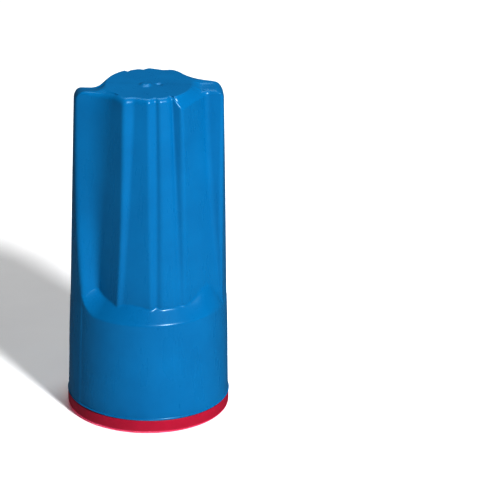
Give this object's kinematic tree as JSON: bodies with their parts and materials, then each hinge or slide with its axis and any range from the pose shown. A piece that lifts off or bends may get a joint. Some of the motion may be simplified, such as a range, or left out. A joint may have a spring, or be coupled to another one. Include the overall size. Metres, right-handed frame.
{
  "type": "twist-on wire connector",
  "caption": "Sealed twist-on wire connector: winged, ribbed plastic shell over a conical wire spring and gel, closed by a snap-in end cap with hinged wedge flaps.",
  "frame": {"origin": "centre of the cap's rim face, on the plane that the connector stands on", "axes": "+Z along the connector's axis, from the cap to the closed end; +X through the middle of one wing and -X through the other"},
  "size_m": [0.0196, 0.0194, 0.0414],
  "materials": {
    "shell_plastic": "satin moulded polypropylene",
    "cap_plastic": "fine matt, mottled",
    "spring_steel": "bright plated wire",
    "gel": "wet translucent gel"
  },
  "bodies": {
    "shell_assembly": {"shell": "shell_plastic", "spring": "spring_steel", "sealant": "gel", "cap_ring": "cap_plastic"},
    "flap_01": {"flap_01": "cap_plastic"},
    "flap_02": {"flap_02": "cap_plastic"},
    "flap_03": {"flap_03": "cap_plastic"},
    "flap_04": {"flap_04": "cap_plastic"},
    "flap_05": {"flap_05": "cap_plastic"},
    "flap_06": {"flap_06": "cap_plastic"},
    "flap_07": {"flap_07": "cap_plastic"},
    "flap_08": {"flap_08": "cap_plastic"},
    "flap_09": {"flap_09": "cap_plastic"},
    "flap_10": {"flap_10": "cap_plastic"},
    "flap_11": {"flap_11": "cap_plastic"},
    "flap_12": {"flap_12": "cap_plastic"}
  },
  "joints": [
    {"name": "flap_01_hinge", "type": "hinge", "parent": "shell_assembly", "child": "flap_01", "pos_m": [0.00636, 0.0017, 0.0011], "axis": [-0.2588, 0.9659, 0], "range_deg": [0, 70], "stiffness_Nm_per_rad": 0.004},
    {"name": "flap_02_hinge", "type": "hinge", "parent": "shell_assembly", "child": "flap_02", "pos_m": [0.00466, 0.00466, 0.0011], "axis": [-0.7071, 0.7071, 0], "range_deg": [0, 70], "stiffness_Nm_per_rad": 0.004},
    {"name": "flap_03_hinge", "type": "hinge", "parent": "shell_assembly", "child": "flap_03", "pos_m": [0.0017, 0.00636, 0.0011], "axis": [-0.9659, 0.2588, 0], "range_deg": [0, 70], "stiffness_Nm_per_rad": 0.004},
    {"name": "flap_04_hinge", "type": "hinge", "parent": "shell_assembly", "child": "flap_04", "pos_m": [-0.0017, 0.00636, 0.0011], "axis": [-0.9659, -0.2588, 0], "range_deg": [0, 70], "stiffness_Nm_per_rad": 0.004},
    {"name": "flap_05_hinge", "type": "hinge", "parent": "shell_assembly", "child": "flap_05", "pos_m": [-0.00466, 0.00466, 0.0011], "axis": [-0.7071, -0.7071, 0], "range_deg": [0, 70], "stiffness_Nm_per_rad": 0.004},
    {"name": "flap_06_hinge", "type": "hinge", "parent": "shell_assembly", "child": "flap_06", "pos_m": [-0.00636, 0.0017, 0.0011], "axis": [-0.2588, -0.9659, 0], "range_deg": [0, 70], "stiffness_Nm_per_rad": 0.004},
    {"name": "flap_07_hinge", "type": "hinge", "parent": "shell_assembly", "child": "flap_07", "pos_m": [-0.00636, -0.0017, 0.0011], "axis": [0.2588, -0.9659, 0], "range_deg": [0, 70], "stiffness_Nm_per_rad": 0.004},
    {"name": "flap_08_hinge", "type": "hinge", "parent": "shell_assembly", "child": "flap_08", "pos_m": [-0.00466, -0.00466, 0.0011], "axis": [0.7071, -0.7071, 0], "range_deg": [0, 70], "stiffness_Nm_per_rad": 0.004},
    {"name": "flap_09_hinge", "type": "hinge", "parent": "shell_assembly", "child": "flap_09", "pos_m": [-0.0017, -0.00636, 0.0011], "axis": [0.9659, -0.2588, 0], "range_deg": [0, 70], "stiffness_Nm_per_rad": 0.004},
    {"name": "flap_10_hinge", "type": "hinge", "parent": "shell_assembly", "child": "flap_10", "pos_m": [0.0017, -0.00636, 0.0011], "axis": [0.9659, 0.2588, 0], "range_deg": [0, 70], "stiffness_Nm_per_rad": 0.004},
    {"name": "flap_11_hinge", "type": "hinge", "parent": "shell_assembly", "child": "flap_11", "pos_m": [0.00466, -0.00466, 0.0011], "axis": [0.7071, 0.7071, 0], "range_deg": [0, 70], "stiffness_Nm_per_rad": 0.004},
    {"name": "flap_12_hinge", "type": "hinge", "parent": "shell_assembly", "child": "flap_12", "pos_m": [0.00636, -0.0017, 0.0011], "axis": [0.2588, 0.9659, 0], "range_deg": [0, 70], "stiffness_Nm_per_rad": 0.004}
  ]
}
